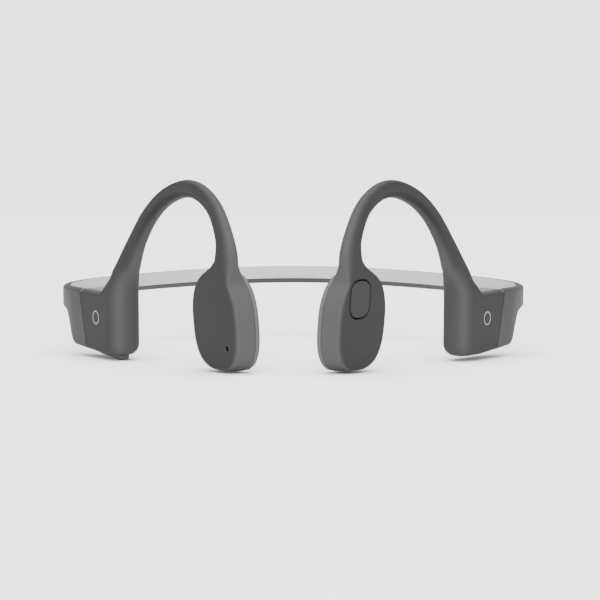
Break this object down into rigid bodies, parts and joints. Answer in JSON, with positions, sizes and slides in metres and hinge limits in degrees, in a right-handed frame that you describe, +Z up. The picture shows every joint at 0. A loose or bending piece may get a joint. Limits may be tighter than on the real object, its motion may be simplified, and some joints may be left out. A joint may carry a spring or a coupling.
{
  "type": "bone conduction headphones",
  "caption": "Open-ear bone conduction headphones: over-ear hooks carry vibrating pods in front of the ears, joined by an elastic band behind the neck.",
  "frame": {"origin": "centre of the bounding box in plan, on the surface the headset stands on", "axes": "+X towards the wearer's left, -Y to the front where the pods are, +Z up; the band's outline lies nearly level"},
  "size_m": [0.135, 0.1354, 0.049],
  "materials": {
    "dark_silicone": "soft matte skin",
    "light_silicone": "soft satin skin",
    "dark_plastic": "satin",
    "black_plastic": "satin",
    "steel": "pressed",
    "magnet": "nickel plated",
    "copper": "enamelled copper",
    "gold": "gold plated",
    "titanium": "drawn titanium wire",
    "circuit_board": "solder mask",
    "battery_foil": "foil pouch",
    "light_guide": "clear"
  },
  "bodies": {
    "right_half": {"right_pod_shell": "dark_silicone", "right_pod_pad": "light_silicone", "right_transducer_yoke": "steel", "right_transducer_magnet": "magnet", "right_voice_coil": "copper", "right_transducer_spring": "steel", "right_ear_hook": "dark_silicone", "right_hook_wire": "copper", "right_housing_shell": "dark_silicone", "right_housing_cover": "light_silicone", "right_neckband_end": "light_silicone", "right_neckband_sleeve": "light_silicone", "microphone": "steel", "main_circuit_board": "circuit_board", "bluetooth_module": "steel", "charging_port": "black_plastic", "charging_contact_1": "gold", "charging_contact_2": "gold", "charging_magnet_1": "magnet", "charging_magnet_2": "magnet", "status_light": "light_guide", "volume_button_bezel": "dark_plastic", "volume_up_switch": "black_plastic", "volume_down_switch": "black_plastic", "neckband_spring_wire": "titanium", "neckband_cable": "copper"},
    "left_half": {"left_pod_shell": "dark_silicone", "left_pod_pad": "light_silicone", "left_transducer_yoke": "steel", "left_transducer_magnet": "magnet", "left_voice_coil": "copper", "left_transducer_spring": "steel", "left_ear_hook": "dark_silicone", "left_hook_wire": "copper", "left_housing_shell": "dark_silicone", "left_housing_cover": "light_silicone", "left_neckband_end": "light_silicone", "left_neckband_sleeve": "light_silicone", "multifunction_switch": "black_plastic", "battery_cell": "battery_foil", "battery_protection_board": "circuit_board"},
    "multifunction_button": {"multifunction_button": "dark_silicone"},
    "volume_up_button": {"volume_up_button": "dark_plastic"},
    "volume_down_button": {"volume_down_button": "dark_plastic"}
  },
  "joints": [
    {"name": "neckband_flex", "type": "hinge", "parent": "right_half", "child": "left_half", "pos_m": [0, 0.06756, 0.01995], "axis": [0, -0.0495, 0.9988], "range_deg": [0, 50], "stiffness_Nm_per_rad": 0.12, "deforming": ["neckband_spring_wire", "neckband_cable"]},
    {"name": "multifunction_press", "type": "slide", "parent": "left_half", "child": "multifunction_button", "axis": [-0.7314, 0.6812, 0.0338], "range_m": [0, 0.0003], "stiffness_N_per_m": 1000},
    {"name": "volume_up_press", "type": "slide", "parent": "right_half", "child": "volume_up_button", "axis": [0, -0.0495, 0.9988], "range_m": [0, 0.0003], "stiffness_N_per_m": 1000},
    {"name": "volume_down_press", "type": "slide", "parent": "right_half", "child": "volume_down_button", "axis": [0, -0.0495, 0.9988], "range_m": [0, 0.0003], "stiffness_N_per_m": 1000}
  ]
}
